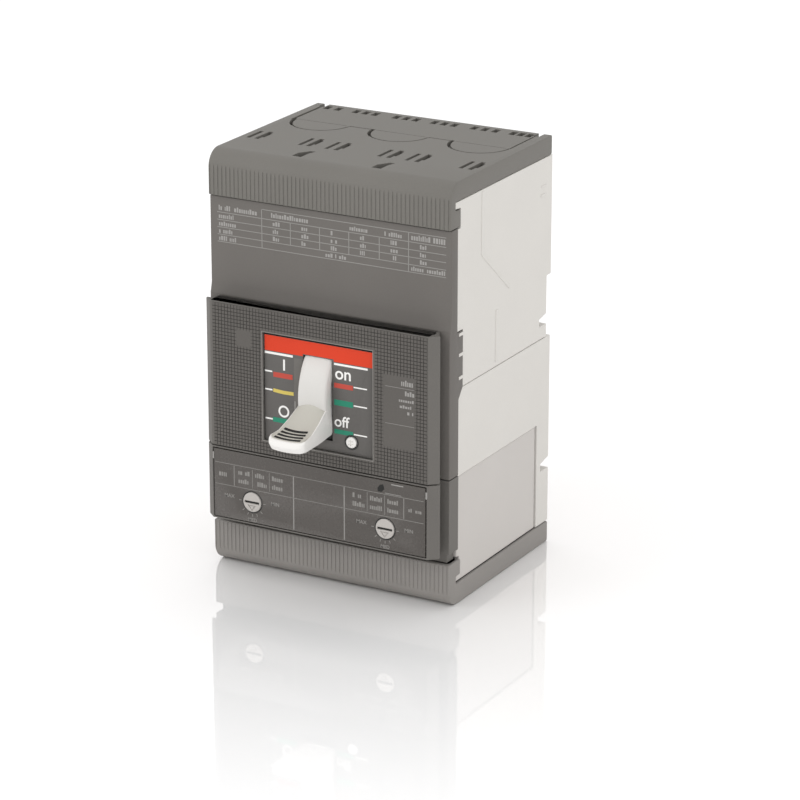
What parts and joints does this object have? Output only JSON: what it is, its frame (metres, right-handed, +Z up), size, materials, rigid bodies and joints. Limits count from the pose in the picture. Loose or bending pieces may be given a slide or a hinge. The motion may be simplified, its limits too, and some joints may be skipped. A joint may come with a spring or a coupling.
{
  "type": "molded case circuit breaker",
  "caption": "Three-pole molded case circuit breaker with toggle handle, trip test button, adjustable trip unit, terminal covers and its inner mechanism.",
  "frame": {"origin": "centre of the flat back mounting face, where it meets the panel", "axes": "+X right as seen from the front, +Y back into the mounting panel, +Z up towards the line terminals"},
  "size_m": [0.105, 0.1167, 0.168],
  "materials": {
    "light_housing": "light grey moulded thermoset, fine matt grain",
    "trip_housing": "light grey moulded thermoset, slightly darker, fine matt grain",
    "dark_cover": "dark warm grey moulded plastic, fine satin grain",
    "textured_front": "dark grey moulded plastic with a fine square grid texture",
    "indicator_plate": null,
    "faceplate": "dark grey semi-gloss plate with fine pale scale lines",
    "white_plastic": "white moulded plastic, satin",
    "dial_plastic": "light grey moulded plastic, satin",
    "black_plastic": "black moulded thermoset, matt",
    "copper": "bare copper bar, lightly brushed",
    "braid": "woven copper braid",
    "zinc_steel": "zinc plated steel, satin",
    "pin_steel": "ground steel pin",
    "arc_chute": "stamped steel splitter plates between fibre cheeks",
    "spring_steel": "oiled spring steel wire",
    "bimetal_strip": "rolled bimetal strip"
  },
  "bodies": {
    "breaker_body": {"upper_case": "light_housing", "lower_case": "light_housing", "trip_unit_case": "trip_housing", "front_cover": "dark_cover", "escutcheon": "textured_front", "indicator_plate": "indicator_plate", "trip_unit_cover": "dark_cover", "trip_unit_faceplate": "faceplate", "top_terminal_cover": "dark_cover", "bottom_terminal_cover": "dark_cover", "cover_screw_1": "zinc_steel", "cover_screw_2": "zinc_steel", "mechanism_plate_left": "zinc_steel", "mechanism_plate_right": "zinc_steel", "cradle_pin": "pin_steel", "latch_pin": "pin_steel", "line_terminal_1": "copper", "line_terminal_2": "copper", "line_terminal_3": "copper", "load_terminal_1": "copper", "load_terminal_2": "copper", "load_terminal_3": "copper", "line_terminal_screw_1": "zinc_steel", "line_terminal_screw_2": "zinc_steel", "line_terminal_screw_3": "zinc_steel", "load_terminal_screw_1": "zinc_steel", "load_terminal_screw_2": "zinc_steel", "load_terminal_screw_3": "zinc_steel", "arc_chute_1": "arc_chute", "arc_chute_2": "arc_chute", "arc_chute_3": "arc_chute", "flexible_braid_1": "braid", "flexible_braid_2": "braid", "flexible_braid_3": "braid", "bimetal_1": "bimetal_strip", "bimetal_2": "bimetal_strip", "bimetal_3": "bimetal_strip", "magnet_yoke_1": "zinc_steel", "magnet_yoke_2": "zinc_steel", "magnet_yoke_3": "zinc_steel", "trip_button_spring": "spring_steel"},
    "handle_assembly": {"toggle_handle": "white_plastic", "handle_arm": "zinc_steel", "main_spring_left": "spring_steel", "main_spring_right": "spring_steel"},
    "crossbar_assembly": {"crossbar": "black_plastic", "moving_contact_1": "copper", "moving_contact_2": "copper", "moving_contact_3": "copper"},
    "lower_link": {"toggle_link_lower": "zinc_steel"},
    "cradle_lever": {"cradle": "zinc_steel"},
    "upper_link": {"toggle_link_upper": "zinc_steel"},
    "latch": {"latch_hook": "zinc_steel"},
    "trip_shaft": {"trip_bar": "black_plastic", "armature_1": "zinc_steel", "armature_2": "zinc_steel", "armature_3": "zinc_steel"},
    "test_button": {"trip_test_button": "white_plastic"},
    "thermal_adjuster": {"thermal_dial": "dial_plastic"},
    "magnetic_adjuster": {"magnetic_dial": "dial_plastic"}
  },
  "joints": [
    {"name": "handle_toggle", "type": "hinge", "parent": "breaker_body", "child": "handle_assembly", "pos_m": [0, -0.0714, -0.005], "axis": [-1, 0, 0], "range_deg": [0, 40], "deforming": ["main_spring_left", "main_spring_right"]},
    {"name": "crossbar_turn", "type": "hinge", "parent": "breaker_body", "child": "crossbar_assembly", "pos_m": [0, -0.034, -0.01], "axis": [-1, 0, 0], "range_deg": [0, 30], "deforming": ["flexible_braid_1", "flexible_braid_2", "flexible_braid_3"]},
    {"name": "lower_link_turn", "type": "hinge", "parent": "crossbar_assembly", "child": "lower_link", "pos_m": [0, -0.0418, -0.0055], "axis": [1, 0, 0], "range_deg": [0, 34]},
    {"name": "cradle_trip", "type": "hinge", "parent": "breaker_body", "child": "cradle_lever", "pos_m": [0, -0.0525, 0.0165], "axis": [-1, 0, 0], "range_deg": [0, 15]},
    {"name": "upper_link_turn", "type": "hinge", "parent": "cradle_lever", "child": "upper_link", "pos_m": [0, -0.062, 0.01], "axis": [1, 0, 0], "range_deg": [0, 16]},
    {"name": "latch_release", "type": "hinge", "parent": "breaker_body", "child": "latch", "pos_m": [0, -0.0715, 0.0075], "axis": [1, 0, 0], "range_deg": [0, 12]},
    {"name": "trip_bar_turn", "type": "hinge", "parent": "breaker_body", "child": "trip_shaft", "pos_m": [0, -0.054, -0.058], "axis": [-1, 0, 0], "range_deg": [0, 3]},
    {"name": "test_button_press", "type": "slide", "parent": "breaker_body", "child": "test_button", "axis": [0, 1, 0], "range_m": [0, 0.002], "stiffness_N_per_m": 400, "springref_m": -0.001, "deforming": ["trip_button_spring"]},
    {"name": "thermal_dial_turn", "type": "hinge", "parent": "breaker_body", "child": "thermal_adjuster", "pos_m": [-0.0295, -0.0922, -0.0523], "axis": [0, -1, 0], "range_deg": [-90, 90]},
    {"name": "magnetic_dial_turn", "type": "hinge", "parent": "breaker_body", "child": "magnetic_adjuster", "pos_m": [0.0295, -0.0922, -0.0523], "axis": [0, -1, 0], "range_deg": [-90, 90]}
  ],
  "couplings": [
    {"joint": "crossbar_turn", "follows": "handle_toggle", "ratio": 0.75},
    {"joint": "lower_link_turn", "follows": "handle_toggle", "ratio": 0.83},
    {"joint": "upper_link_turn", "follows": "handle_toggle", "ratio": 0.386},
    {"joint": "latch_release", "follows": "test_button_press", "rad_per_m": 104},
    {"joint": "trip_bar_turn", "follows": "test_button_press", "rad_per_m": 26}
  ]
}
